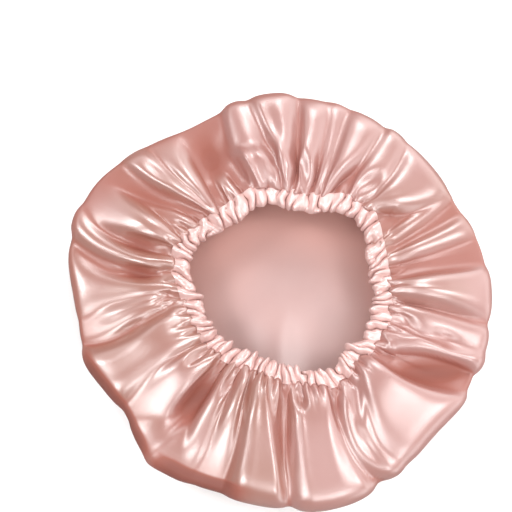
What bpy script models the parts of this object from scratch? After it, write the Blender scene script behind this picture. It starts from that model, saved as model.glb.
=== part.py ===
"""A satin sleep bonnet, lying on the back of its crown with its mouth up.

Metres, +Z up. The flat underside lies on Z = 0 and the origin is the middle of the plan there.
A round of satin is drawn up into a ruched casing over an elastic ring. Its slack is nothing at the widest line
and greatest at the casing, so it stands up in small gathers there, which run out into a few dozen broad folds.
Every angle is measured round the middle of the mouth, counter-clockwise from +X.
"""

import bpy
import numpy as np

# Overall places
MOUTH_X = 0.0059
MOUTH_Y = -0.00754
GATHERS = 64
COLUMNS = 2 * GATHERS

# Crown
CROWN_WALL = 0.0018
CREST_LEVEL = 0.0625

# Casing: a strip folded over the elastic, whose two lips hold the crown's edge
CASING_WALL = 0.0012
CASING_WIDTH = 0.0155
CASING_SLOPE = 0.25
MOUTH_LEVEL = 0.0490
CROWN_EDGE = 0.0120
SEAM_FLAT = 0.0030
CLEARANCE = 0.0007
PUFF = 0.0038
RUCHE = 0.0014

# Elastic
ELASTIC_WIDTH = 0.0064
ELASTIC_THICKNESS = 0.0010
ELASTIC_INSET = 0.0042

# A row for each section: angle, then the radius of the outline and of the mouth's edge, and the crest's height
SECTIONS = (
    (0, 0.176, 0.072, 0.058),
    (15, 0.176, 0.071, 0.056),
    (30, 0.174, 0.077, 0.056),
    (45, 0.179, 0.087, 0.057),
    (60, 0.183, 0.086, 0.058),
    (75, 0.186, 0.077, 0.058),
    (90, 0.190, 0.078, 0.059),
    (105, 0.188, 0.085, 0.061),
    (120, 0.181, 0.081, 0.057),
    (135, 0.190, 0.082, 0.059),
    (150, 0.200, 0.090, 0.061),
    (165, 0.197, 0.089, 0.059),
    (180, 0.184, 0.077, 0.058),
    (195, 0.182, 0.073, 0.059),
    (210, 0.171, 0.069, 0.062),
    (225, 0.177, 0.064, 0.059),
    (240, 0.176, 0.059, 0.060),
    (255, 0.171, 0.059, 0.063),
    (270, 0.172, 0.061, 0.061),
    (285, 0.176, 0.067, 0.061),
    (300, 0.168, 0.072, 0.062),
    (315, 0.166, 0.066, 0.064),
    (330, 0.170, 0.070, 0.058),
    (345, 0.173, 0.071, 0.057),
)

# A row for each ring of the crown, from the flat underside over the widest line and the crest to the casing:
# reach (0 at the crown's edge, 1 at the outline), height, and how much the folds and the gathers show
RINGS = (
    (0.80, 0.0000, 0.00, 0.00),
    (0.93, 0.0028, 0.10, 0.00),
    (0.98, 0.0110, 0.25, 0.00),
    (1.00, 0.0230, 0.40, 0.00),
    (0.975, 0.0340, 0.60, 0.00),
    (0.92, 0.0435, 0.80, 0.00),
    (0.84, 0.0520, 1.00, 0.00),
    (0.74, 0.0580, 1.00, 0.15),
    (0.62, 0.0615, 1.00, 0.35),
    (0.49, 0.0625, 1.00, 0.70),
    (0.36, 0.0610, 0.90, 1.20),
    (0.24, 0.0575, 0.60, 1.70),
    (0.13, 0.0530, 0.25, 1.60),
)

# A row for each main fold: its angle at the casing and at the outline, its width in degrees,
# its height (below zero for a valley), and the reach where it starts and where it ends
FOLDS = (
    (359, 2, 11, 0.007, 0.30, 1.00),
    (11, 15, 9, -0.009, 0.20, 1.00),
    (22, 23, 6, 0.004, 0.15, 0.90),
    (27, 29, 8, -0.007, 0.30, 0.95),
    (43, 38, 14, 0.006, 0.30, 0.95),
    (58, 50, 8, -0.007, 0.15, 0.60),
    (67, 60, 7, 0.007, 0.20, 0.95),
    (70, 70, 7, -0.009, 0.20, 0.90),
    (75, 75, 6, 0.006, 0.10, 0.90),
    (80, 80, 6, -0.007, 0.30, 0.90),
    (84, 86, 7, 0.006, 0.10, 1.00),
    (89, 89, 5, -0.009, 0.05, 0.45),
    (100, 101, 18, 0.010, 0.05, 0.65),
    (121, 120, 14, -0.011, 0.30, 0.85),
    (130, 138, 8, 0.009, 0.20, 0.90),
    (143, 144, 9, -0.009, 0.20, 0.80),
    (154, 153, 10, 0.010, 0.20, 0.85),
    (171, 171, 7, -0.007, 0.20, 0.60),
    (178, 185, 9, 0.007, 0.20, 0.80),
    (183, 193, 6, -0.009, 0.20, 0.90),
    (203, 201, 15, 0.010, 0.15, 0.95),
    (216, 216, 13, 0.011, 0.15, 0.90),
    (227, 227, 7, -0.010, 0.15, 0.70),
    (238, 243, 11, 0.009, 0.25, 0.85),
    (243, 249, 5, -0.009, 0.05, 0.60),
    (254, 260, 17, 0.011, 0.10, 1.00),
    (267, 269, 6, -0.009, 0.25, 0.90),
    (277, 277, 13, 0.009, 0.30, 1.00),
    (287, 289, 8, 0.009, 0.30, 1.00),
    (301, 300, 7, 0.009, 0.10, 1.00),
    (314, 316, 22, 0.010, 0.20, 1.00),
    (323, 337, 10, -0.011, 0.25, 0.95),
    (344, 346, 8, 0.006, 0.35, 0.95),
)
FOLD_END = 0.15

# The casing's strip, from its upper lip round the mouth's edge to its lower lip:
# share of the way out from the mouth's edge, and share of the height between lip and puff
STRIP = (
    (1.00, 1, 0.00),
    (0.72, 1, 0.85),
    (0.30, 1, 1.00),
    (0.00, 0, 0.00),
    (0.30, -1, 1.00),
    (0.72, -1, 0.85),
    (1.00, -1, 0.00),
)


def clear_scene():
    for thing in list(bpy.data.objects):
        bpy.data.objects.remove(thing, do_unlink=True)


def parts_collection():
    collection = bpy.data.collections.new("sleep_bonnet")
    bpy.context.scene.collection.children.link(collection)
    return collection


def satin(name, colour, roughness, metallic):
    material = bpy.data.materials.new(name)
    material.use_nodes = True
    shader = material.node_tree.nodes["Principled BSDF"]
    shader.inputs["Base Color"].default_value = (*colour, 1.0)
    shader.inputs["Roughness"].default_value = roughness
    shader.inputs["Metallic"].default_value = metallic
    return material


def smooth_step(value):
    """0 below 0 and 1 above 1, with an easy curve between."""
    t = np.clip(value, 0.0, 1.0)
    return t * t * (3.0 - 2.0 * t)


def round_values(column, angle):
    """A column of SECTIONS at each angle in degrees, on a smooth closed curve through its rows."""
    values = np.array([row[column] for row in SECTIONS])
    count = len(values)
    place = (angle % 360.0) * count / 360.0
    row = np.floor(place).astype(int)
    t = place - row
    before, here, after, beyond = (values[(row + step) % count] for step in (-1, 0, 1, 2))
    rise = after - before
    bend = 2.0 * before - 5.0 * here + 4.0 * after - beyond
    twist = 3.0 * here - before - 3.0 * after + beyond
    return here + 0.5 * t * (rise + t * (bend + t * twist))


def outline_radius(angle):
    return round_values(1, angle)


def mouth_radius(angle):
    return round_values(2, angle)


def crest_height(angle):
    return round_values(3, angle)


def gather_angles():
    """The angle of every column in degrees. Two to a gather, unevenly spaced as a hand-fed ruche is."""
    column = np.arange(COLUMNS)
    spacing = 360.0 / COLUMNS
    uneven = 0.22 * np.sin(column * 2.399) + 0.12 * np.sin(column * 0.71)
    return column * spacing + spacing * uneven


def gather_heights():
    """Up and down in turn from column to column, each gather of its own size."""
    column = np.arange(COLUMNS)
    size = 0.85 + 0.3 * np.sin(column * 1.618)
    return np.where(column % 2, -1.0, 1.0) * size


def fold_heights(angle, reach):
    """The sum of the main folds at each angle, on a ring at this reach."""
    total = np.zeros_like(angle)
    for inner, outer, width, height, start, end in FOLDS:
        turn = (outer - inner + 180.0) % 360.0 - 180.0
        middle = inner + turn * reach
        away = (angle - middle + 180.0) % 360.0 - 180.0
        across = np.cos(np.pi / 2.0 * np.clip(away / width, -1.0, 1.0)) ** 2
        along = smooth_step((reach - start) / FOLD_END + 1.0) * smooth_step((end - reach) / FOLD_END + 1.0)
        total += height * across * along
    return total


def around(angle, radius, height):
    """Points at these angles in degrees and radii round the middle of the mouth."""
    turn = np.radians(angle)
    x = MOUTH_X + radius * np.cos(turn)
    y = MOUTH_Y + radius * np.sin(turn)
    return np.stack([x, y, np.broadcast_to(height, x.shape)], axis=-1)


def seam_level(out):
    """Height of the crown's outer face under the casing, this far out from the mouth's edge."""
    return MOUTH_LEVEL + CASING_SLOPE * (out - CROWN_EDGE)


def crown_rings():
    """One closed row of points for each row of RINGS, pushed out along the profile by folds and gathers,
    then two level with the casing's seam."""
    angle = gather_angles()
    even = np.arange(COLUMNS) * 360.0 / COLUMNS
    reaches = np.array([row[0] for row in RINGS])
    levels = np.array([row[1] for row in RINGS])
    span = float(np.mean(outline_radius(even) - mouth_radius(even))) - CROWN_EDGE
    out_step = np.gradient(reaches) * span
    up_step = np.gradient(levels)
    length = np.hypot(out_step, up_step)
    rings = []
    for number, (reach, level, fold, gather) in enumerate(RINGS):
        spread = smooth_step((0.6 - reach) / 0.6)
        here = even + (angle - even) * spread
        push = fold * fold_heights(here, reach) + gather * RUCHE * gather_heights()
        out = push * up_step[number] / length[number]
        up = -push * out_step[number] / length[number]
        rise = (crest_height(here) - CREST_LEVEL) * smooth_step(fold)
        edge = mouth_radius(here) + CROWN_EDGE
        radius = edge + reach * (outline_radius(here) - edge)
        rings.append(around(here, radius + out, level + rise + up))
    for out in (CASING_WIDTH + SEAM_FLAT, CROWN_EDGE):
        rings.append(around(angle, mouth_radius(angle) + out, seam_level(out) + RUCHE * gather_heights()))
    return rings


def loft_faces(rows, columns, closed_rows):
    """Quads between neighbouring rows of a grid that closes on itself along each row."""
    faces = []
    for row in range(rows if closed_rows else rows - 1):
        here = row * columns
        there = (row + 1) % rows * columns
        for column in range(columns):
            beside = (column + 1) % columns
            faces.append((here + column, here + beside, there + beside, there + column))
    return faces


def mesh_object(name, points, faces, material, collection):
    mesh = bpy.data.meshes.new(name)
    mesh.from_pydata([tuple(point) for point in points], [], faces)
    mesh.materials.append(material)
    mesh.shade_smooth()
    thing = bpy.data.objects.new(name, mesh)
    collection.objects.link(thing)
    return thing


def give_wall(thing, thickness, offset):
    wall = thing.modifiers.new("wall", "SOLIDIFY")
    wall.thickness = thickness
    wall.offset = offset
    wall.use_even_offset = False


def add_crown(collection):
    rings = crown_rings()
    middle = np.array([[MOUTH_X, MOUTH_Y, 0.0]])
    points = np.concatenate(rings + [middle])
    faces = loft_faces(len(rings), COLUMNS, closed_rows=False)
    pole = len(points) - 1
    faces += [((column + 1) % COLUMNS, column, pole) for column in range(COLUMNS)]
    material = satin("rose_satin", (0.72, 0.36, 0.30), 0.30, 0.35)
    crown = mesh_object("crown", points, faces, material, collection)
    give_wall(crown, CROWN_WALL, -1.0)


def casing_level(out):
    """Height of the casing's middle line, in line with the crown's wall between its lips."""
    return seam_level(out) - CROWN_WALL / 2.0


def add_casing(collection):
    angle = gather_angles()
    lip = CROWN_WALL / 2.0 + CLEARANCE + CASING_WALL / 2.0
    rows = []
    for share, side, fullness in STRIP:
        half = lip + (PUFF - lip) * fullness
        out = CASING_WIDTH * share
        level = casing_level(out) + side * half + RUCHE * gather_heights()
        rows.append(around(angle, mouth_radius(angle) + out, level))
    points = np.concatenate(rows)
    faces = [face[::-1] for face in loft_faces(len(rows), COLUMNS, closed_rows=False)]
    material = satin("casing_satin", (0.74, 0.40, 0.34), 0.30, 0.35)
    casing = mesh_object("elastic_casing", points, faces, material, collection)
    give_wall(casing, CASING_WALL, 0.0)


def add_elastic(collection):
    """A flat band: four corners of its section at each second column."""
    angle = np.arange(GATHERS) * 360.0 / GATHERS
    rows = []
    for inset, side in ((0.0, -1), (ELASTIC_WIDTH, -1), (ELASTIC_WIDTH, 1), (0.0, 1)):
        out = ELASTIC_INSET + inset
        level = casing_level(out) + side * ELASTIC_THICKNESS / 2.0
        rows.append(around(angle, mouth_radius(angle) + out, level))
    points = np.concatenate(rows)
    faces = loft_faces(len(rows), GATHERS, closed_rows=True)
    material = satin("white_elastic", (0.80, 0.78, 0.75), 0.80, 0.0)
    mesh_object("elastic", points, faces, material, collection)


def main():
    clear_scene()
    collection = parts_collection()
    add_crown(collection)
    add_casing(collection)
    add_elastic(collection)


main()
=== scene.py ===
"""A rose satin sleep bonnet lying on the back of its crown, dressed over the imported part.

Metres, +Z up. Every angle is measured round the middle of the mouth, counter-clockwise from +X.
The crown is one round of satin. It is laid out with its charted folds and then let settle as cloth: its
threads keep their length, so the slack that the elastic draws up has to stand in folds.
"""

import math

import bpy
import numpy as np
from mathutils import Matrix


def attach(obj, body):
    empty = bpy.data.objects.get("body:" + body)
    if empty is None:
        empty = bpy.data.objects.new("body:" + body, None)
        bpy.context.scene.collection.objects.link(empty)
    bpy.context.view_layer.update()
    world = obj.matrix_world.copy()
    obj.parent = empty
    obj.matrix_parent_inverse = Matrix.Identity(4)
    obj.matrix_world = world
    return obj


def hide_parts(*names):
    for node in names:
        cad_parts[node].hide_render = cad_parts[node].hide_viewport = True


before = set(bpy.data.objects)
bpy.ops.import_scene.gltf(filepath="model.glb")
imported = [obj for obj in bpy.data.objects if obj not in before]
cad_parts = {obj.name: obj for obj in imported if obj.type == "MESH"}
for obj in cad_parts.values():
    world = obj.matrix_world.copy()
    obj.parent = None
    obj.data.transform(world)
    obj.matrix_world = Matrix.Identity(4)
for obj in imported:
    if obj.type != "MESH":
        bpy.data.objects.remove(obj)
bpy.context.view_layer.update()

# Places of the part, as its source has them
MOUTH_X = 0.0059
MOUTH_Y = -0.00754
MOUTH_LEVEL = 0.0490
CASING_WIDTH = 0.0155
CASING_SLOPE = 0.25
CROWN_EDGE = 0.0120
CREST_LEVEL = 0.0625
GATHERS = 64

# The crown's cloth: its thickness, the usual way from its edge at the casing to the outline, its points and
# how they crowd towards the casing, how finely its profile is smoothed, and the height that its wall ends at
CLOTH = 0.0006
SPAN = 0.094
COLUMNS = 768
ROWS = 54
UNDER_ROWS = 9
ROW_CROWDING = 0.75
PROFILE_STEPS = 2000
PROFILE_SMOOTHING = 41
WALL_TOP = 0.03

# The gathers at the seam: their height, how far out they reach, how round they are, the least size of one
# against the usual one, how much more it may be, and the share of that by which the next one differs
GATHER_HEIGHT = 0.0021
GATHER_REACH = 0.17
GATHER_ROUNDNESS = 0.8
GATHER_LEAST = 0.65
GATHER_MORE = 0.7
GOLDEN_SHARE = 0.618

# The lobes: the least width in degrees, the reach over which each one starts, how round it is, how sharply
# two of them meet, and how far the valleys lie under the mean, in millimetres
LEAST_WIDTH = 1.5
LOBE_START = 0.34
LOBE_ROUNDNESS = 0.7
LOBE_MEETING = 5.0
VALLEY = 6.0

# The reach over which a crease ends, and how wide the rim round a pocket is against the pocket
CREASE_FADE = 0.08
POCKET_RIM = 0.22

# Painted shade in the folds: how deep a valley is for its full shade, where a pocket's darker shade
# starts, how much shade the cloth between two gathers takes, and how much of the duller shader shows in it
SHADE_DEPTH = 0.008
POCKET_DEPTH = 0.0070
GATHER_SHADE = 0.8
VALLEY_SHADE_SHARE = 0.8

# How the cloth settles: its steps, the rounds of pulling in each, what each point keeps of its last move,
# the push of the air, the pull back to how it was laid, and how firmly threads and their crossings keep
# length
SETTLE_STEPS = 6
SETTLE_ROUNDS = 2
SETTLE_MEMORY = 0.8
AIR = 0.00002
LIE_AS_LAID = 0.12
THREAD_PULL = 0.9
CROSS_PULL = 0.25

# How it resists folding over spans of so many threads, at the seam and further out, the reach where the
# outer cloth starts and over which it comes in, and the reach that the seam holds
FOLD_SPANS = (2, 4, 8, 12)
STIFFNESS = 0.03
OUTER_STIFFNESS = 0.02
OUTER_START = 0.05
OUTER_FADE = 0.5
SEAM_HELD = 0.04

# How many times the settled cloth is smoothed, and how much at the seam and how much more further out
SMOOTHINGS = 12
SEAM_EASE = 0.1
OUTER_EASE = 0.4

# The casing: its points, how far it swells, how much its gathers swell, lift and scallop it, the gap between
# its lips, how square and how high its oval is, and which part of a gather takes painted shade as its pinch
CASING_COLUMNS = 1024
CASING_ROWS = 33
CASING_PUFF = 0.0030
CASING_RUCHE = 0.0013
SEAM_RUCHE = 0.0024
LIP_GAP = 0.0003
EDGE_SCALLOP = 0.0023
OVAL_SQUARE = 0.4
OVAL_HEIGHT = 1.14
PINCH_SHADE_LEVEL = -0.35
PINCH_SHADE_EDGE = 1.1

# A row for each wave round the mouth: its height, how many times it goes round, how far it drifts on its
# way across the casing, and where it starts, in radians. The feed of the ruche is uneven by so many gathers,
# the crown's gathers end at an uneven reach, and the casing's lean and wander, in degrees, and fade.
FEED_WAVES = ((0.18, 5, 0.0, 0.4), (0.162, 11, 0.0, 2.0), (0.1008, 23, 0.0, 1.1))
GATHER_END_WAVES = ((0.35, 13, 0.0, 0.0), (0.25, 31, 0.0, 0.0))
LEAN_WAVES = ((4.0, 1, 0.0, 0.5 + 0.5 * math.pi), (2.0, 7, 0.0, 0.0), (1.2, 16, 0.0, 1.0))
WANDER_WAVES = ((1.3, 13, 3.0, 0.5), (0.9, 31, -4.5, 0.0))
FADE_WAVES = ((0.3, 19, 4.0, 0.0), (0.2, 37, -3.0, 0.0))
FADE_MEAN = 0.75

# The fine ripple on the casing's gathers: its height against theirs, how many to a gather, and its lean
RIPPLE = 0.12
RIPPLES = 2.8
RIPPLE_LEAN = 6.0

# The stitches: how many, how far round the casing's fold they lie, how much of its pitch each one fills,
# its thread's radius, the radius left at its tips, how high it arches and how deep it sinks in the cloth,
# against its thread, and its points along and round
STITCHES = 190
STITCH_SHARE = 0.19
STITCH_FILL = 0.62
THREAD = 0.00022
STITCH_TIP = 0.00002
STITCH_ARCH = 1.6
STITCH_SINK = 0.4
STITCH_STATIONS = 7
STITCH_SIDES = 8

# The finishes, in linear red, green and blue. A satin drifts between a deep and a light tone, and has a
# third, darker one for its valleys that is painted shade; a pocket or the rim's underside takes a darker
# painted shade still. The casing's ruched satin is painted lighter than the crown's, a painted highlight for
# its small gathers.
# The wrong side drifts too, and turns to its third tone, warmer and paler, between two distances from its
# middle: painted light that lifts the shade towards the hollow's rim.
ROSE = ((0.305, 0.118, 0.084), (0.345, 0.134, 0.112), (0.30, 0.096, 0.070))
RUCHED_PAINTED_LIGHT_AND_SHADE = ((0.58, 0.345, 0.315), (0.70, 0.455, 0.425), (0.25, 0.088, 0.063))
POCKET_SHADE_ROSE = (0.21, 0.066, 0.049)
SATIN_ROUGHNESS = 0.26
SATIN_GLOSS = 2.7
FLOATS = 420.0
WRONG_SIDE = ((0.46, 0.275, 0.255), (0.53, 0.335, 0.315), (0.70, 0.375, 0.325))
WRONG_SIDE_MIDDLE = (MOUTH_X + 0.002, MOUTH_Y - 0.008, 0.0)
WRONG_SIDE_PAINTED_LIGHT_TURN = (0.028, 0.105)
THREAD_ROSE = (0.66, 0.36, 0.31)
ELASTIC_YARN = ((0.62, 0.55, 0.53), (0.82, 0.76, 0.74))
PALE = (0.95, 0.95, 0.95)

# The studio: the world's grey at each height along an axis that leans back by its tilt, and a row for each
# round softbox, its direction and elevation in degrees, distance, size and power
WORLD_STRENGTH = 0.66
WORLD_TILT = 16.0
BACKGROUND = 1.42
WORLD_LEVELS = (
    (0.0, 0.75),
    (0.15, 0.60),
    (0.36, 0.36),
    (0.56, 0.36),
    (0.71, 2.45),
    (0.79, 2.45),
    (0.875, 0.60),
    (0.985, 0.45),
)
LIGHTS = (
    ("left_light", 165.0, 50.0, 1.2, 0.35, 3.4),
    ("front_left_light", 228.0, 54.0, 1.2, 0.45, 3.6),
    ("front_right_light", 292.0, 46.0, 1.2, 0.35, 2.2),
    ("right_light", 358.0, 60.0, 1.2, 0.45, 4.0),
    ("back_light", 80.0, 42.0, 1.2, 0.35, 3.2),
    ("low_front_light", 315.0, 13.0, 1.4, 0.9, 3.2),
    ("low_front_right_light", 350.0, 13.0, 1.4, 0.9, 3.5),
    ("low_right_light", 25.0, 13.0, 1.4, 0.9, 3.5),
    ("low_back_light", 60.0, 13.0, 1.4, 0.9, 3.8),
)
TOP_LIGHT = ("top_light", 270.0, 82.0, 1.6, 0.9, 4.0)
LIGHT_AIM = 0.03
FLOOR_HALF = 3.0

# The camera, at the photograph's angle
LENS = 77.67
SENSOR = 36.0
CAMERA_PLACE = (-0.0225, -0.2314, 0.9478)
CAMERA_ELEVATION = 74.0

# A row for each section, evenly round the mouth: angle, the radius of the outline and of the mouth's edge,
# and the crest's height
OUTLINE, MOUTH, CREST = 1, 2, 3
SECTIONS = (
    (0, 0.172, 0.072, 0.058),
    (15, 0.174, 0.071, 0.056),
    (30, 0.171, 0.077, 0.056),
    (45, 0.174, 0.087, 0.057),
    (60, 0.179, 0.086, 0.058),
    (75, 0.184, 0.077, 0.058),
    (90, 0.186, 0.078, 0.059),
    (105, 0.184, 0.085, 0.059),
    (120, 0.181, 0.081, 0.057),
    (135, 0.190, 0.082, 0.059),
    (150, 0.200, 0.090, 0.061),
    (165, 0.197, 0.089, 0.059),
    (180, 0.184, 0.077, 0.058),
    (195, 0.182, 0.073, 0.059),
    (210, 0.171, 0.069, 0.062),
    (225, 0.175, 0.064, 0.059),
    (240, 0.1785, 0.059, 0.060),
    (255, 0.175, 0.059, 0.063),
    (270, 0.176, 0.061, 0.061),
    (285, 0.1755, 0.067, 0.061),
    (300, 0.1685, 0.072, 0.062),
    (315, 0.162, 0.066, 0.0625),
    (330, 0.166, 0.070, 0.0605),
    (345, 0.170, 0.071, 0.057),
)

# A row for each corner that a fold pulls in the outline: its angle, its half width in degrees, and how far
# out it stands in millimetres
CORNERS = (
    (230.5, 4.0, 5.0),
    (297.0, 6.0, 2.0),
    (332.0, 5.0, 3.5),
)

# A row for each station of the crown's profile, from the flat underside over the widest line and the crest
# to the casing: reach (0 at the crown's edge, 1 at the outline), height, and how much the folds show
PROFILE = (
    (0.72, 0.0000, 0.00),
    (0.84, 0.0035, 0.04),
    (0.890, 0.0110, 0.12),
    (0.925, 0.0195, 0.22),
    (0.955, 0.0285, 0.32),
    (0.984, 0.0375, 0.44),
    (1.002, 0.0440, 0.64),
    (0.999, 0.0488, 0.85),
    (0.984, 0.0519, 1.00),
    (0.955, 0.0536, 1.00),
    (0.90, 0.0546, 1.00),
    (0.80, 0.0554, 1.00),
    (0.72, 0.0559, 1.00),
    (0.63, 0.0566, 1.00),
    (0.53, 0.0577, 1.00),
    (0.43, 0.0587, 1.00),
    (0.33, 0.0591, 1.00),
    (0.23, 0.0584, 0.95),
    (0.13, 0.0564, 0.78),
    (0.05, 0.0532, 0.42),
    (0.00, 0.0510, 0.12),
)

# The reach of the three places where a fold's line is charted, at the casing, halfway out and at the outline
STATIONS = (0.0, 0.45, 0.9)

# A row for each lobe of cloth between two valleys: the angle of its first edge at the three places, of its
# last edge there, the reach where it starts and where its rounded end lies, how long that end slopes, its
# height in millimetres over the valleys, and how flat its top is
LOBES = (
    (-3, -5.5, -7.5, 9, 9.5, 9.5, -1.0, 1.40, 0.95, 13, 3.2),
    (16.5, 17, 18, 24, 24.5, 26, -1.0, 1.15, 0.34, 4.8, 2.0),
    (26, 28, 31, 34, 34.5, 34, -1.0, 1.20, 0.34, 3.4, 2.0),
    (46, 35, 32.5, 51.5, 50.5, 54, -1.0, 1.15, 0.34, 9, 4.0),
    (50, 49, 52, 62, 62, 61, -1.0, 1.20, 0.34, 8, 3.0),
    (70.5, 61.5, 60, 73, 73, 73, -1.0, 1.12, 0.34, 9, 2.6),
    (72.5, 72, 72, 78, 77.8, 79.5, -1.0, 1.20, 0.34, 5.4, 2.0),
    (79, 77.5, 77.5, 87.7, 86.8, 87.5, -1.0, 1.10, 0.34, 8, 2.6),
    (88, 87.7, 87.5, 91.5, 98, 102, -1.0, 1.25, 0.34, 9, 3.0),
    (89, 99, 107, 109, 112.5, 113, -1.0, 0.62, 0.34, 11, 3.0),
    (101, 99, 100.5, 110, 111.5, 110, 0.25, 1.30, 0.34, 7, 2.4),
    (115, 116.5, 118, 123, 122, 120, -1.0, 0.46, 0.34, 6, 2.0),
    (128.5, 126, 123, 132, 133.6, 134, -1.0, 1.10, 0.60, 7.2, 2.0),
    (130.5, 132.8, 133, 133.5, 140, 141, -1.0, 1.12, 0.34, 7.2, 2.6),
    (141, 143, 144, 150, 149.5, 148, -1.0, 0.36, 0.34, 6, 3.0),
    (151, 148.3, 147.5, 157.5, 160.5, 159, -1.0, 1.02, 0.75, 10, 3.0),
    (160.5, 163, 157.5, 168.5, 169.8, 165.5, -1.0, 1.25, 0.34, 6.5, 2.6),
    (168.5, 173.5, 167.5, 179, 183.5, 186, -1.0, 1.30, 0.34, 5.6, 2.2),
    (176, 181.5, 184, 180.5, 188, 191, 0.00, 0.92, 0.34, 6.8, 2.0),
    (180, 186, 186, 181.5, 192, 194.5, -0.1, 1.00, 0.60, 6.6, 2.2),
    (181.5, 192, 194.5, 210, 212, 214, -1.0, 1.25, 0.34, 10, 3.0),
    (210.5, 209.3, 210, 223.5, 226.8, 226, -1.0, 1.06, 0.80, 11, 3.2),
    (229, 225.5, 220, 231, 235, 241, 0.50, 1.40, 0.34, 6, 3.0),
    (229, 232, 237, 236, 241.8, 242, -1.0, 1.00, 0.34, 7, 3.2),
    (237, 240.3, 239.3, 243.8, 250.2, 252.8, -1.0, 1.02, 0.75, 10.5, 3.0),
    (243.8, 249.5, 251.5, 255, 265.5, 269.5, -1.0, 1.16, 0.34, 12, 4.0),
    (255.5, 261, 264, 264.5, 266, 267, -1.0, 0.56, 0.34, 8, 2.0),
    (269.5, 268.5, 269.5, 293, 290.3, 293, -1.0, 1.30, 0.34, 10.5, 5.0),
    (297, 289.5, 293.5, 317, 303.5, 304.5, -1.0, 1.30, 0.34, 6.5, 5.0),
    (313.5, 300, 300, 322.5, 324, 329.5, -1.0, 1.30, 0.34, 11.5, 5.0),
    (323.5, 335.5, 337.5, 348, 342, 343, -1.0, 1.25, 0.34, 10, 2.2),
    (345, 341, 340, 357.5, 354.2, 352, -1.0, 1.25, 0.34, 7, 2.6),
)

# A row for each narrow ridge (up) or crease (down) on top of the lobes: its angle at the three places, the
# reach where it starts and where it ends, its half width in degrees, and its height in millimetres
CREASES = (
    (46.5, 33, 19, 0.00, 0.24, 0.9, -3.0),
    (88.4, 87.6, 87, -0.10, 0.42, 0.9, -3.0),
    (83.5, 94.5, 99.5, 0.16, 0.92, 1.4, 2.5),
    (104.5, 108.3, 110, 0.00, 0.44, 1.5, 4.0),
    (96.6, 94.2, 93, 0.00, 0.24, 0.9, 1.6),
    (172.5, 191.8, 194.5, 0.02, 0.98, 0.9, -3.0),
    (233.5, 232.3, 230.3, 0.62, 1.06, 0.8, 1.8),
    (252.8, 262.2, 266.6, -0.05, 0.90, 1.5, 1.6),
    (247.5, 253.2, 255.0, 0.30, 0.90, 1.5, 1.2),
    (290.5, 284.5, 284.5, 0.20, 0.93, 0.6, 0.5),
    (293.5, 289.0, 291.0, 0.20, 0.93, 0.6, 0.5),
    (300.5, 291.9, 297.2, -0.02, 1.02, 1.8, 3.0),
    (314.8, 299.2, 299.8, -0.02, 1.02, 1.7, 2.6),
    (303.5, 296.5, 296.0, 0.40, 0.52, 2.2, 2.0),
    (296, 282, 272, 0.02, 0.22, 1.1, 2.0),
    (326, 337.0, 339.0, 0.05, 0.97, 1.1, 2.0),
    (337.5, 318, 300, 0.00, 0.20, 1.1, 3.0),
    (351.5, 335, 320, 0.04, 0.30, 1.1, 2.4),
)

# A row for each pocket: the angle and reach of its middle, half its width in degrees, half its length in
# reach, how many degrees it leans over a reach of 1, its height in millimetres, and the height of the rim
# round it
PUFFS = (
    (55, 0.27, 4.5, 0.20, -10, -4.0, 0.0),
    (83, 0.21, 3.0, 0.22, 7, -4.0, 2.0),
    (95, 0.60, 4.0, 0.24, 5, -2.0, 0.0),
    (119, 0.55, 8.0, 0.32, -6, -4.5, 0.0),
    (136.4, 0.66, 1.6, 0.18, 0, -2.6, 0.0),
    (144, 0.50, 4.6, 0.30, 8, -3.0, 0.0),
    (147, 0.08, 2.0, 0.12, 6, -3.0, 0.0),
    (161.5, 0.33, 2.6, 0.22, 0, -4.0, 0.0),
    (171.5, 0.33, 2.6, 0.22, 0, -5.0, 0.0),
    (214.8, 0.10, 3.8, 0.20, 6, -8.0, 0.0),
    (228.5, 0.42, 4.5, 0.34, 2, -6.0, 0.0),
    (236, 0.17, 2.6, 0.13, 4, -5.0, 0.0),
    (275, 0.12, 4.6, 0.13, 0, -8.0, 0.0),
    (287.4, 0.62, 2.2, 0.34, 2, -1.0, 0.0),
    (302.5, 0.17, 6.5, 0.25, -26, -2.0, 0.0),
    (296.6, 0.68, 2.0, 0.18, 5, -1.5, 0.0),
    (330, 0.60, 7.0, 0.42, 20, -6.0, 0.0),
    (343.5, 0.58, 2.8, 0.15, -8, -3.5, 0.0),
    (346.5, 0.17, 4.4, 0.14, -20, -4.0, 0.0),
)

# A row for each stretch of painted shade where the rim curls under: its first and last angle, its reach, and
# how dark it is (1 as a valley, 2 as a pocket)
UNDER_RIM = (
    (62, 130, 0.90, 0.6),
    (140, 194, 0.90, 0.7),
    (196, 229, 0.88, 2.0),
    (231, 256, 0.84, 2.0),
)

# How softly that painted shade ends, in degrees and in reach, and the height on the wall where it is gone
# and over which it fades in
RIM_SHADE_TURN = 12.0
RIM_SHADE_REACH = 0.06
RIM_SHADE_FOOT = 0.026
RIM_SHADE_FADE = 0.020

# A row for each soft swell where the underside stands off the floor: its middle, its half widths and its
# height
SWELLS = (
    (-0.006, -0.040, 0.014, 0.034, 0.0075),
    (-0.040, 0.010, 0.030, 0.030, 0.0030),
    (0.040, 0.018, 0.028, 0.034, 0.0035),
)


def smooth_step(value):
    """0 below 0 and 1 above 1, with an easy curve between."""
    t = np.clip(value, 0.0, 1.0)
    return t * t * (3.0 - 2.0 * t)


def round_values(column, angle):
    """A column of SECTIONS at each angle in degrees, on a smooth closed curve through its rows: between two
    rows the cubic whose slope at each is half the rise from the row before to the row after."""
    values = np.array([row[column] for row in SECTIONS])
    count = len(values)
    place = (angle % 360.0) * count / 360.0
    row = np.floor(place).astype(int)
    t = place - row
    before, here, after, beyond = (values[(row + step) % count] for step in (-1, 0, 1, 2))
    rise = after - before
    bend = 2.0 * before - 5.0 * here + 4.0 * after - beyond
    twist = 3.0 * here - before - 3.0 * after + beyond
    return here + 0.5 * t * (rise + t * (bend + t * twist))


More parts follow.
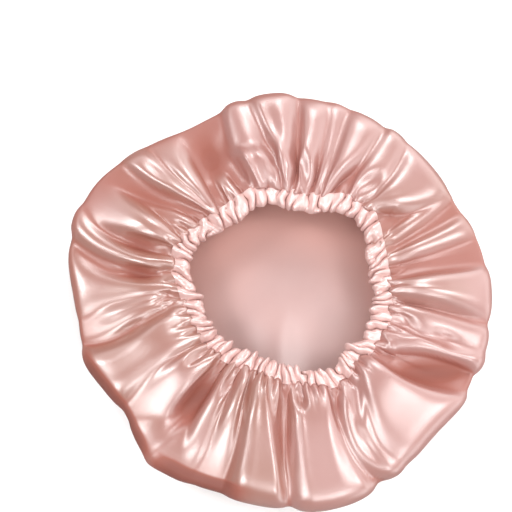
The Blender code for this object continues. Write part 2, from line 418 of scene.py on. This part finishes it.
def outline_radius(angle):
    """The outline on its smooth curve, drawn out to a rounded corner h / (1 + u^2) at each row of CORNERS,
    u in its half widths."""
    radius = round_values(OUTLINE, angle)
    for middle, half_width, out in CORNERS:
        radius = radius + 0.001 * out / (1.0 + (between_angles(angle, middle) / half_width) ** 2)
    return radius


def mouth_radius(angle):
    """The mouth's edge on its smooth curve."""
    return round_values(MOUTH, angle)


def crest_height(angle):
    """The height of the crown's crest on its smooth curve."""
    return round_values(CREST, angle)


def profile_rows(count):
    """The columns of PROFILE at this many stations along its curve, smoothed by a running mean that weighs
    its middle most. The stations are evenly spaced but for their crowding."""
    table = np.array(PROFILE)
    step = np.hypot(np.diff(table[:, 0]) * SPAN, np.diff(table[:, 1]))
    along = np.concatenate([[0.0], np.cumsum(step)])
    fine = np.linspace(0.0, along[-1], PROFILE_STEPS)
    kernel = np.hanning(PROFILE_SMOOTHING + 2)[1:-1]
    kernel /= kernel.sum()
    half = PROFILE_SMOOTHING // 2
    there = along[-1] * np.linspace(0.0, 1.0, count) ** ROW_CROWDING
    columns = []
    for values in table.T:
        rough = np.interp(fine, along, values)
        first = 2.0 * rough[0] - rough[half:0:-1]
        last = 2.0 * rough[-1] - rough[-2 : -half - 2 : -1]
        smooth = np.convolve(np.concatenate([first, rough, last]), kernel, "valid")
        columns.append(np.interp(there, fine, smooth))
    return np.stack(columns, axis=1)


def between_stations(table, columns, reach):
    """These three columns of each row of a table, on a parabola through the three stations at each reach."""
    near, middle, far = (np.array([row[column] for row in table])[:, None, None] for column in columns)
    start, _, end = STATIONS
    share = (np.clip(reach, start, 1.0) - start) / (end - start)
    first = near * (1.0 - share) * (1.0 - 2.0 * share)
    last = far * share * (2.0 * share - 1.0)
    return first + 4.0 * middle * share * (1.0 - share) + last


def between_angles(angle, middle):
    """The turn in degrees from the middle to the angle, the short way round."""
    return (angle - middle + 180.0) % 360.0 - 180.0


def cloth_lobes(angle, reach):
    """Each row of LOBES is a pillow h (1 - |u|^p)^0.7 with u = 1 at its two edges, easing down to its two
    ends. The cloth lies over the highest pillow of each place, eased where two of them meet."""
    left = between_stations(LOBES, (0, 1, 2), reach)
    right = between_stations(LOBES, (3, 4, 5), reach)
    start, end, slope, height, flatness = np.array(LOBES)[:, 6:, None, None].transpose(1, 0, 2, 3)
    half = 0.5 * np.maximum(right - left, LEAST_WIDTH)
    u = np.abs(between_angles(angle, 0.5 * (left + right))) / half
    ends = smooth_step((end - reach) / slope) * smooth_step((reach - start) / LOBE_START)
    pillow = height * ends * np.clip(1.0 - u**flatness, 0.0, 1.0) ** LOBE_ROUNDNESS
    return (pillow**LOBE_MEETING).sum(axis=0) ** (1.0 / LOBE_MEETING) - VALLEY


def narrow_creases(angle, reach):
    """Each row of CREASES adds h / (1 + u^2)^2 across its line, u in half widths, fading out past its two
    ends."""
    middle = between_stations(CREASES, (0, 1, 2), reach)
    start, end, width, height = np.array(CREASES)[:, 3:, None, None].transpose(1, 0, 2, 3)
    u = between_angles(angle, middle) / width
    begun = smooth_step((reach - start) / CREASE_FADE + 0.5)
    fade = begun * smooth_step((end - reach) / CREASE_FADE + 0.5)
    return (height * fade / (1.0 + u * u) ** 2).sum(axis=0)


def puffs_and_pockets(angle, reach):
    """Each row of PUFFS adds a dome h (1 - d^2)^1.5 inside its oval, d = 1 on the oval's edge, and along
    that edge a rim r exp(-t^2), with t from the edge in widths of the rim."""
    rows = np.array(PUFFS)[:, :, None, None].transpose(1, 0, 2, 3)
    middle, out, half_angle, half_reach, lean, height, rim = rows
    across = between_angles(angle, middle + lean * (reach - out)) / half_angle
    d = np.sqrt(across**2 + ((reach - out) / half_reach) ** 2)
    dome = np.clip(1.0 - d * d, 0.0, 1.0) ** 1.5
    return (height * dome + rim * np.exp(-(((d - 1.0) / POCKET_RIM) ** 2))).sum(axis=0)


def fold_heights(angle, reach):
    """The height of the folded cloth over its mean, in metres."""
    total = cloth_lobes(angle, reach) + narrow_creases(angle, reach) + puffs_and_pockets(angle, reach)
    return 0.001 * total


def rim_shade(angle, reach, level):
    """How much painted shade each row of UNDER_RIM puts on the cloth past its reach between its two angles,
    with soft edges. It fades out down the wall."""
    first, last, out, dark = np.array(UNDER_RIM)[:, :, None, None].transpose(1, 0, 2, 3)
    half = 0.5 * (last - first)
    beside = smooth_step((half - np.abs(between_angles(angle, first + half))) / RIM_SHADE_TURN + 0.5)
    shade = dark * beside * smooth_step((reach - out) / RIM_SHADE_REACH)
    return shade.max(axis=0) * smooth_step((level - RIM_SHADE_FOOT) / RIM_SHADE_FADE)


def waves(rows, angle, across=0.0):
    """The sum of h sin(n a + d c + s) over the rows, with n times round, drift d across the casing and
    start s."""
    turn = np.radians(angle)
    return sum(high * np.sin(times * turn + drift * across + start) for high, times, drift, start in rows)


def gather_phase(angle):
    """Turns through one for each gather, unevenly spaced as a hand-fed ruche is."""
    return GATHERS * angle / 360.0 + waves(FEED_WAVES, angle)


def gather_wave(angle):
    """From -1 in the crease between two gathers to about 1 on each one's rounded top. Each has its own
    size, on steps of the golden share, so that no two near ones are alike."""
    phase = gather_phase(angle)
    puff = np.abs(np.sin(np.pi * phase)) ** GATHER_ROUNDNESS
    size = GATHER_LEAST + GATHER_MORE * np.modf(GOLDEN_SHARE * (np.floor(phase) % GATHERS + 1.0))[0]
    return 2.0 * puff * size - 1.0


def seam_gathers(angle, reach):
    """The height of the gathers that the seam puts in the crown's edge, fading out at an uneven reach."""
    end = GATHER_REACH * (1.0 + waves(GATHER_END_WAVES, angle))
    return GATHER_HEIGHT * gather_wave(angle) * smooth_step(1.0 - reach / end)


def painted_shade_amount(angle, reach, level, fold, folds, gathers):
    """How much painted shade each point takes, standing in for the shade in the folds: up to 1 in a valley
    or between two gathers, and up to 2 in a pocket or under the rim."""
    deep = smooth_step(-folds / SHADE_DEPTH) + smooth_step((-folds - POCKET_DEPTH) / SHADE_DEPTH)
    pinch_shade = GATHER_SHADE * smooth_step(-gathers / GATHER_HEIGHT)
    valley = deep * smooth_step(2.0 * fold)
    return np.maximum(np.maximum(valley, pinch_shade), rim_shade(angle, reach, level))


def around(angle, radius, height):
    """Points at these angles in degrees and radii round the middle of the mouth."""
    turn = np.radians(angle)
    x = MOUTH_X + radius * np.cos(turn)
    y = MOUTH_Y + radius * np.sin(turn)
    return np.stack(np.broadcast_arrays(x, y, height), axis=-1)


def laid_crown(rows, columns):
    """The crown's upper cloth before it settles, in rows from the underside to the casing's seam: its
    points, how much painted shade each takes, and what settle takes. That is the length of its thread round
    each row and from row to row, what is held, how stiff it is and how much it is eased. A fold pushes each
    point square to the profile."""
    reach, level, fold = profile_rows(rows).T[:, :, None]
    angle = np.arange(columns)[None, :] * 360.0 / columns
    out_step = np.gradient(reach[:, 0])[:, None] * SPAN
    up_step = np.gradient(level[:, 0])[:, None]
    length = np.hypot(out_step, up_step)
    upper = np.where(level > WALL_TOP, reach, 1.0)
    folds = fold_heights(angle, upper)
    gathers = seam_gathers(angle, upper)
    push = fold * folds + gathers
    rise = (crest_height(angle) - CREST_LEVEL) * smooth_step(fold)
    edge = mouth_radius(angle) + CROWN_EDGE
    radius = edge + reach * (outline_radius(angle) - edge)
    points = around(angle, radius + push * up_step / length, level + rise - push * out_step / length)
    thread = np.linalg.norm(np.roll(points, -1, axis=1) - points, axis=2)
    along = np.linalg.norm(np.diff(points, axis=0), axis=2)
    held = (reach < SEAM_HELD) | (np.arange(rows)[:, None] == 0)
    outer = smooth_step((upper - OUTER_START) / OUTER_FADE)
    stiffness = STIFFNESS + (OUTER_STIFFNESS - STIFFNESS) * outer
    ease = SEAM_EASE + OUTER_EASE * outer
    # Painted shade: how dark each point is painted for its valley, pocket, pinch or the rim's underside
    painted_shade = painted_shade_amount(angle, upper, level, fold, folds, gathers)
    return points, painted_shade, (thread, along, held[:, :, None], stiffness[:, :, None], ease[:, :, None])


def pull(ahead, behind, rest, stiffness, push_only=False):
    """How far the ends of each pair move, half each, to bring the pair to its rest length."""
    way = ahead - behind
    length = np.linalg.norm(way, axis=-1, keepdims=True)
    excess = (length - rest[..., None]) / np.maximum(length, 1e-9)
    if push_only:
        excess = np.minimum(excess, 0.0)
    return 0.5 * stiffness * excess * way


def thread_shift(now, thread, along, cross, stiffness):
    """How far every point moves to bring its threads back to their length, round, along and across the
    squares, and to keep spans of several threads from folding up."""
    shift = np.zeros_like(now)
    change = pull(np.roll(now, -1, axis=1), now, thread, THREAD_PULL)
    shift += change - np.roll(change, 1, axis=1)
    change = pull(now[1:], now[:-1], along, THREAD_PULL)
    shift[:-1] += change
    shift[1:] -= change
    for lean in (1, -1):
        change = pull(np.roll(now[1:], -lean, axis=1), now[:-1], cross, CROSS_PULL)
        shift[:-1] += change
        shift[1:] -= np.roll(change, lean, axis=1)
    for span in FOLD_SPANS:
        change = pull(np.roll(now, -span, axis=1), now, thread * span, stiffness, push_only=True)
        shift += change - np.roll(change, span, axis=1)
    change = pull(now[2:], now[:-2], along[1:] + along[:-1], STIFFNESS, push_only=True)
    shift[:-2] += change
    shift[2:] -= change
    return shift


def settle(laid, thread, along, held, stiffness, ease):
    """The cloth let settle: threads round and along keep their length, short spans resist folding, air
    holds the bag out, the seam and the underside stay put, and nothing sinks under the floor. Then its fine
    ripples are eased out."""
    free = np.where(held, 0.0, 1.0)
    now = laid.copy()
    before = laid.copy()
    cross = np.hypot(0.5 * (thread[1:] + thread[:-1]), along)
    for _step in range(SETTLE_STEPS):
        move = (now - before) * SETTLE_MEMORY
        before = now
        beside = np.roll(now, -1, axis=1) - np.roll(now, 1, axis=1)
        onward = np.gradient(now, axis=0)
        face = np.cross(beside, onward)
        face /= np.maximum(np.linalg.norm(face, axis=2, keepdims=True), 1e-9)
        now = now + (move + AIR * face + LIE_AS_LAID * (laid - now)) * free
        for _round in range(SETTLE_ROUNDS):
            now = now + 0.5 * free * thread_shift(now, thread, along, cross, stiffness)
        now[..., 2] = np.maximum(now[..., 2], 0.0)
    for _pass in range(SMOOTHINGS):
        shift = 0.25 * (np.roll(now, 1, axis=1) + np.roll(now, -1, axis=1) - 2.0 * now)
        shift[1:-1] += 0.25 * (now[2:] + now[:-2] - 2.0 * now[1:-1])
        now = now + ease * shift * free
    return now


def swells(x, y):
    """The height of the underside over the floor: each row of SWELLS adds h exp(-d^2 / 2), d in half
    widths."""
    total = 0.0
    for middle_x, middle_y, half_x, half_y, height in SWELLS:
        away = ((x - middle_x) / half_x) ** 2 + ((y - middle_y) / half_y) ** 2
        total = total + height * np.exp(-0.5 * away)
    return total


def crown_grid():
    """The whole crown as rows of points, rings of the underside in soft swells and then the settled cloth
    up to the seam, and how much painted shade each point takes."""
    laid, painted_shade, cloth = laid_crown(ROWS, COLUMNS)
    settled = settle(laid, *cloth)
    share = (np.arange(1, UNDER_ROWS) / UNDER_ROWS)[:, None, None]
    middle = np.array([MOUTH_X, MOUTH_Y, 0.0])
    under = middle + (settled[:1] - middle) * share
    under[..., 2] += swells(under[..., 0], under[..., 1])
    return np.concatenate([under, settled]), np.concatenate([np.zeros(under.shape[:2]), painted_shade])


def closed_grid_faces(rows, columns):
    """Quads of a grid whose rows each close on themselves."""
    row = np.arange(rows - 1)[:, None] * columns
    column = np.arange(columns)[None, :]
    beside = (column + 1) % columns
    corners = (row + column, row + beside, row + columns + beside, row + columns + column)
    return np.stack(np.broadcast_arrays(*corners), axis=-1).reshape(-1, 4)


def make_mesh(name, points, quads, triangles, materials):
    """A mesh of these points from arrays of quads and triangles."""
    mesh = bpy.data.meshes.new(name)
    corners = np.concatenate([quads.ravel(), triangles.ravel()]).astype(np.int32)
    sizes = np.concatenate([np.full(len(quads), 4), np.full(len(triangles), 3)])
    starts = np.concatenate([[0], np.cumsum(sizes)[:-1]]).astype(np.int32)
    mesh.vertices.add(len(points))
    mesh.vertices.foreach_set("co", points.astype(np.float32).ravel())
    mesh.loops.add(len(corners))
    mesh.loops.foreach_set("vertex_index", corners)
    mesh.polygons.add(len(sizes))
    mesh.polygons.foreach_set("loop_start", starts)
    mesh.update(calc_edges=True)
    mesh.validate()
    mesh.shade_smooth()
    for material in materials:
        mesh.materials.append(material)
    piece = bpy.data.objects.new(name, mesh)
    bpy.context.scene.collection.objects.link(piece)
    return piece


def give_cloth_thickness(piece, inner_material):
    """A wall as thick as the cloth, inwards from the piece's surface, with this material slot on its
    inside."""
    wall = piece.modifiers.new("cloth", "SOLIDIFY")
    wall.thickness = CLOTH
    wall.offset = -1.0
    wall.use_even_offset = False
    wall.material_offset = inner_material


def give_painted_shade(piece, painted_shade):
    """Keeps how much painted shade each point takes with the mesh, for its material."""
    shade_layer = piece.data.attributes.new("painted_shade", "FLOAT", "POINT")
    shade_layer.data.foreach_set("value", painted_shade.ravel().astype(np.float32))


def make_crown(satin, wrong_side):
    """The crown's grid, closed at the middle of its underside by a fan round one point."""
    rows, painted_shade = crown_grid()
    count, columns, _ = rows.shape
    pole = [[MOUTH_X, MOUTH_Y, swells(MOUTH_X, MOUTH_Y)]]
    points = np.concatenate([rows.reshape(-1, 3), pole])
    column = np.arange(columns)
    fan = np.stack([(column + 1) % columns, column, np.full(columns, len(points) - 1)], axis=1)
    crown = make_mesh("crown_cloth", points, closed_grid_faces(count, columns), fan, [satin, wrong_side])
    give_painted_shade(crown, np.append(painted_shade.ravel(), 0.0))
    give_cloth_thickness(crown, 1)
    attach(crown, "root")
    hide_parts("crown")
    return crown


def across_casing(share):
    """From 0 at the casing's lips to 1 at the mouth's edge, at each share of the way round its fold."""
    return 0.5 - 0.5 * np.cos(2.0 * np.pi * share)


def casing_wave(angle, share):
    """The casing's gathers, from about -1 in a pinch to 1 on a gather's top. They lean, wander and fade on
    their way across, and carry a fine ripple."""
    across = across_casing(share)
    wander = waves(WANDER_WAVES, angle, across) * np.sin(0.5 * np.pi * across)
    shift = waves(LEAN_WAVES, angle) * across + wander
    fade = FADE_MEAN + waves(FADE_WAVES, angle, across)
    ripple = np.sin(2.0 * np.pi * RIPPLES * gather_phase(angle) + RIPPLE_LEAN * across)
    return fade * gather_wave(angle + shift) + RIPPLE * ripple * across * (1.0 - 0.5 * across)


def casing_surface(angle, share):
    """The casing's face at this share of the way round its fold: from the upper lip to the mouth's edge and
    back to the lower lip on a squared oval, swollen between the pinches of each gather."""
    turn = 2.0 * np.pi * share
    across = across_casing(share)
    wave = casing_wave(angle, share)
    out = CASING_WIDTH * (1.0 - across)
    side = np.sign(np.sin(turn)) * (1.0 - np.cos(turn)) * (1.0 + np.cos(turn)) ** OVAL_SQUARE / OVAL_HEIGHT
    swell = CASING_PUFF + CASING_RUCHE * wave
    level = MOUTH_LEVEL - 0.5 * CLOTH + CASING_SLOPE * (out - CROWN_EDGE)
    level = level + side * swell + LIP_GAP * np.cos(np.pi * share) + SEAM_RUCHE * wave
    edge = EDGE_SCALLOP * wave * across
    return around(angle, mouth_radius(angle) + out - edge, level)


def make_casing(satin):
    """The casing's grid, once round its fold in rows. The way the rows run turns its quads inwards, so each
    is reversed."""
    angle = np.arange(CASING_COLUMNS)[None, :] * 360.0 / CASING_COLUMNS
    share = np.linspace(0.0, 1.0, CASING_ROWS)[:, None]
    points = casing_surface(angle, share)
    quads = closed_grid_faces(CASING_ROWS, CASING_COLUMNS)[:, ::-1]
    casing = make_mesh("casing_cloth", points.reshape(-1, 3), quads, np.zeros((0, 3), int), [satin])
    # Painted shade in the pinches between the casing's gathers, for its material's darker shade tone
    give_painted_shade(casing, smooth_step(0.5 - PINCH_SHADE_EDGE * (casing_wave(angle, share) - PINCH_SHADE_LEVEL)))
    give_cloth_thickness(casing, 0)
    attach(casing, "root")
    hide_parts("elastic_casing")
    return casing


def make_stitches(thread):
    """One short rounded bar for each stitch, on the casing's upper face just inside its lip. Each is a ring
    of points about each station along it, r sqrt(1 - t^6) in radius with t from -1 to 1, closed by a fan at
    both ends, and it arches like sin."""
    stations, sides = STITCH_STATIONS, STITCH_SIDES
    pitch = 360.0 / STITCHES
    along = np.linspace(0.0, 1.0, stations)[None, :, None]
    angle = (np.arange(STITCHES)[:, None, None] + (along - 0.5) * STITCH_FILL) * pitch
    middle = casing_surface(angle, STITCH_SHARE)
    middle[..., 2] += THREAD * (STITCH_ARCH * np.sin(np.pi * along) - STITCH_SINK)
    radius = THREAD * np.sqrt(np.clip(1.0 - (2.0 * along - 1.0) ** 6, 0.0, 1.0)) + STITCH_TIP
    turn = (np.arange(sides) * 2.0 * np.pi / sides)[None, None, :, None]
    way = np.radians(angle)
    outward = np.stack([np.cos(way), np.sin(way), np.zeros_like(way)], axis=-1)
    upward = np.array([0.0, 0.0, 1.0])
    ring = radius[..., None] * (np.cos(turn) * outward + np.sin(turn) * upward)
    ends = middle[:, (0, -1), 0].reshape(-1, 3)
    points = np.concatenate([(middle + ring).reshape(-1, 3), ends])
    first = np.arange(STITCHES)[:, None, None] * stations * sides
    row = np.arange(stations - 1)[None, :, None] * sides
    column = np.arange(sides)[None, None, :]
    here, beside = first + row + column, first + row + (column + 1) % sides
    quads = np.stack([here, here + sides, beside + sides, beside], axis=-1).reshape(-1, 4)
    tip = len(points) - len(ends) + 2 * np.arange(STITCHES)[:, None] + np.zeros(sides, int)
    near = np.stack([tip, here[:, 0], beside[:, 0]], axis=-1)
    far = np.stack([tip + 1, beside[:, -1] + sides, here[:, -1] + sides], axis=-1)
    fans = np.concatenate([near, far]).reshape(-1, 3)
    stitches = make_mesh("seam_stitches", points, quads, fans, [thread])
    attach(stitches, "root")
    return stitches


class Value:
    """A node's output that takes part in sums, differences and products."""

    def __init__(self, paint, socket):
        self.paint = paint
        self.socket = socket

    def maths(self, operation, first, second):
        return self.paint.node("ShaderNodeMath", {"operation": operation}, {0: first, 1: second})

    def __add__(self, other):
        return self.maths("ADD", self, other)

    def __radd__(self, other):
        return self.maths("ADD", other, self)

    def __sub__(self, other):
        return self.maths("SUBTRACT", self, other)

    def __rsub__(self, other):
        return self.maths("SUBTRACT", other, self)

    def __mul__(self, other):
        return self.maths("MULTIPLY", self, other)

    def __rmul__(self, other):
        return self.maths("MULTIPLY", other, self)


def set_stops(ramp, stops):
    """Gives a colour ramp a grey stop for each place and level, instead of the two that it starts with."""
    for place, level in stops:
        ramp.elements.new(place).color = (level, level, level, 1.0)
    for spare in (ramp.elements[-1], ramp.elements[0]):
        ramp.elements.remove(spare)


class Paint:
    """A node tree, built from expressions."""

    def __init__(self, tree):
        self.tree = tree

    def give(self, socket, value):
        """Links a node's output to this socket, or sets the socket to a plain value."""
        if isinstance(value, Value):
            self.tree.links.new(value.socket, socket)
        elif isinstance(value, tuple) and len(value) == 3 and socket.type == "RGBA":
            socket.default_value = (*value, 1.0)
        else:
            socket.default_value = value

    def node(self, kind, settings, inputs, output=0):
        """A node of this type: its settings, then the values or links of its sockets."""
        made = self.tree.nodes.new(kind)
        for key, value in settings.items():
            if key == "stops":
                set_stops(made.color_ramp, value)
            else:
                setattr(made, key, value)
        for key, value in inputs.items():
            self.give(made.inputs[key], value)
        return Value(self, made.outputs[output])

    def mix(self, share, first, second):
        """This share of the way from the first colour to the second."""
        return self.node("ShaderNodeMix", {"data_type": "RGBA"}, {0: share, 6: first, 7: second}, 2)


class Finish(Paint):
    """A material and its node tree."""

    def __init__(self, name):
        self.material = bpy.data.materials.new(name)
        self.material.use_nodes = True
        super().__init__(self.material.node_tree)
        self.shader = self.tree.nodes["Principled BSDF"]

    def surface(self, **sockets):
        """Values and links of the shader's own sockets, named with _ for a space."""
        for key, value in sockets.items():
            self.give(self.shader.inputs[key.replace("_", " ")], value)
        return self.material

    def blend(self, share, other):
        """The material with this share of another shader over its own."""
        own = Value(self, self.shader.outputs[0])
        both = self.node("ShaderNodeMixShader", {}, {0: share, 1: own, 2: other})
        self.give(self.tree.nodes["Material Output"].inputs["Surface"], both)
        return self.material

    def place(self):
        """Where on the piece a point lies, in metres."""
        return self.node("ShaderNodeTexCoord", {}, {}, "Object")

    def noise(self, place, scale, detail=2.0, roughness=0.5):
        """Soft patches from 0 to 1, this many to the metre."""
        inputs = {"Vector": place, "Scale": scale, "Detail": detail, "Roughness": roughness}
        return self.node("ShaderNodeTexNoise", {}, inputs)

    def stripes(self, place, scale):
        """Fine slanting lines with a rounded top, as sin(10 s (x + y + z)) with this scale s."""
        settings = {"wave_type": "BANDS", "bands_direction": "DIAGONAL", "wave_profile": "SIN"}
        return self.node("ShaderNodeTexWave", settings, {"Vector": place, "Scale": scale})

    def spread(self, value, low, high):
        """From 0 at the low value to 1 at the high one, with an easy curve between."""
        settings = {"interpolation_type": "SMOOTHSTEP"}
        return self.node("ShaderNodeMapRange", settings, {"Value": value, 1: low, 2: high})

    def bump(self, height, distance, strength, under=None):
        """This height as a bump, over the bump under it."""
        inputs = {"Height": height, "Distance": distance, "Strength": strength}
        if under is not None:
            inputs["Normal"] = under
        return self.node("ShaderNodeBump", {}, inputs)


def satin_finish(name, deep, light, valley):
    """Satin's right side: long floats that shine, in a colour that drifts a little between two close tones.
    With painted shade in the folds: where a point takes painted shade it turns to the darker valley tone and
    a duller shader, and in a pocket or under the rim to the darker pocket tone."""
    paint = Finish(name)
    place = paint.place()
    drift = paint.noise(place, scale=9.0, detail=3.0)
    colour = paint.mix(paint.spread(drift, low=0.35, high=0.65), deep, light)
    floats = paint.stripes(place, FLOATS)
    slubs = paint.noise(place, scale=260.0)
    creases = paint.noise(place, scale=55.0, roughness=0.4)
    soft = paint.bump(creases, distance=0.0004, strength=0.3)
    fine = paint.bump(floats * 0.6 + slubs * 0.4, distance=0.00003, strength=0.5, under=soft)
    shine = SATIN_ROUGHNESS + 0.08 * paint.spread(drift, low=0.3, high=0.7) + 0.05 * slubs
    # Painted shade: each point's shade amount darkens its colour and mixes in a duller shader
    painted_shade = paint.node("ShaderNodeAttribute", {"attribute_name": "painted_shade"}, {}, "Fac")
    shade_tone = paint.mix(painted_shade - 1.0, valley, POCKET_SHADE_ROSE)
    shaded = paint.mix(painted_shade, colour, shade_tone)
    dull = {"Base Color": shaded, "Roughness": shine + 0.2, "IOR": 1.4, "Normal": fine}
    paint.surface(Base_Color=colour, Roughness=shine, Normal=fine, IOR=SATIN_GLOSS)
    return paint.blend(VALLEY_SHADE_SHARE * painted_shade, paint.node("ShaderNodeBsdfPrincipled", {}, dull))


def wrong_side_finish(name, deep, light, outer):
    """Satin's dull side, painted warmer and paler from the middle outwards: painted light that lifts the
    shade towards the hollow's rim.
    """
    paint = Finish(name)
    place = paint.place()
    ends = {0: place, 1: WRONG_SIDE_MIDDLE}
    away = paint.node("ShaderNodeVectorMath", {"operation": "DISTANCE"}, ends, "Value")
    near = paint.mix(paint.noise(place, scale=22.0, detail=3.0), deep, light)
    # Painted light: paler, warmer tone away from the middle, lifting the shade near the hollow's rim
    colour = paint.mix(paint.spread(away, *WRONG_SIDE_PAINTED_LIGHT_TURN), near, outer)
    drape = paint.bump(paint.noise(place, scale=30.0, roughness=0.4), distance=0.0008, strength=0.5)
    weave = paint.bump(paint.stripes(place, FLOATS), distance=0.00003, strength=0.4, under=drape)
    return paint.surface(Base_Color=colour, Roughness=0.4, Normal=weave, IOR=1.9)


def thread_finish(name, colour):
    """Sewing thread: two plies wound round each other."""
    paint = Finish(name)
    plies = paint.bump(paint.stripes(paint.place(), scale=500.0), distance=0.00004, strength=0.6)
    return paint.surface(Base_Color=colour, Roughness=0.45, Normal=plies)


def elastic_finish(name, deep, light):
    """Woven elastic: pale yarn over rows of rubber, ribbed along its length."""
    paint = Finish(name)
    ribs = paint.stripes(paint.place(), scale=300.0)
    raised = paint.bump(ribs, distance=0.0001, strength=0.6)
    return paint.surface(Base_Color=paint.mix(ribs, deep, light), Roughness=0.75, Normal=raised)


def dress_elastic():
    """The solid elastic of the part, hidden inside the casing, in its own woven finish."""
    finish = elastic_finish("woven_elastic", *ELASTIC_YARN)
    for slot in bpy.data.objects["elastic"].material_slots:
        slot.material = finish


def make_floor():
    """A plain pale floor, which the satin doesn't mirror."""
    material = Finish("pale_floor").surface(Base_Color=PALE, Roughness=0.9)
    corners = FLOOR_HALF * np.array([[-1.0, -1.0, 0.0], [1.0, -1.0, 0.0], [1.0, 1.0, 0.0], [-1.0, 1.0, 0.0]])
    floor = make_mesh("floor", corners, np.array([[0, 1, 2, 3]]), np.zeros((0, 3), int), [material])
    floor.visible_glossy = False


def soft_light(name, azimuth, elevation, distance, size, power):
    """A round softbox in this direction from the bonnet, in degrees, facing it."""
    lamp = bpy.data.lights.new(name, "AREA")
    lamp.shape = "DISK"
    lamp.size = size
    lamp.energy = power
    light = bpy.data.objects.new(name, lamp)
    bpy.context.scene.collection.objects.link(light)
    turn, rise = math.radians(azimuth), math.radians(elevation)
    flat = distance * math.cos(rise)
    light.location = (flat * math.cos(turn), flat * math.sin(turn), distance * math.sin(rise) + LIGHT_AIM)
    light.rotation_euler = (math.pi / 2.0 - rise, 0.0, turn + math.pi / 2.0)
    return light


def make_world():
    """Grey at the horizon and overhead and bright between, as in a room with its lamps above and about,
    before a plain pale wall."""
    world = bpy.data.worlds.new("studio")
    world.use_nodes = True
    paint = Paint(world.node_tree)
    tilt = math.radians(WORLD_TILT)
    way = paint.node("ShaderNodeTexCoord", {}, {}, "Generated")
    ends = {0: way, 1: (0.0, math.sin(tilt), math.cos(tilt))}
    height = paint.node("ShaderNodeVectorMath", {"operation": "DOT_PRODUCT"}, ends, "Value")
    room = paint.node("ShaderNodeValToRGB", {"stops": WORLD_LEVELS}, {0: height})
    seen = paint.node("ShaderNodeLightPath", {}, {}, "Is Camera Ray")
    background = paint.tree.nodes["Background"]
    paint.give(background.inputs["Color"], paint.mix(seen, room, (BACKGROUND, BACKGROUND, BACKGROUND)))
    paint.give(background.inputs["Strength"], WORLD_STRENGTH)
    bpy.context.scene.world = world


def make_studio():
    """The floor, the world and the softboxes. The one overhead isn't mirrored in the satin."""
    make_floor()
    make_world()
    for row in LIGHTS:
        soft_light(*row)
    soft_light(*TOP_LIGHT).visible_glossy = False
    bpy.context.scene.view_settings.view_transform = "Standard"


def make_camera():
    """Above the front of the bonnet, looking down at it as the photograph does."""
    lens = bpy.data.cameras.new("camera")
    lens.lens = LENS
    lens.sensor_width = SENSOR
    camera = bpy.data.objects.new("camera", lens)
    bpy.context.scene.collection.objects.link(camera)
    camera.location = CAMERA_PLACE
    camera.rotation_euler = (math.radians(90.0 - CAMERA_ELEVATION), 0.0, 0.0)
    bpy.context.scene.camera = camera


def main():
    satin = satin_finish("rose_satin", *ROSE)
    # The casing's satin, painted lighter than the crown's as a painted highlight, with painted shade in its
    # pinches
    ruched = satin_finish("ruched_satin", *RUCHED_PAINTED_LIGHT_AND_SHADE)
    wrong_side = wrong_side_finish("satin_wrong_side", *WRONG_SIDE)
    thread = thread_finish("rose_thread", THREAD_ROSE)
    crown = make_crown(satin, wrong_side)
    casing = make_casing(ruched)
    stitches = make_stitches(thread)
    dress_elastic()
    make_studio()
    make_camera()
    bpy.context.view_layer.update()


main()
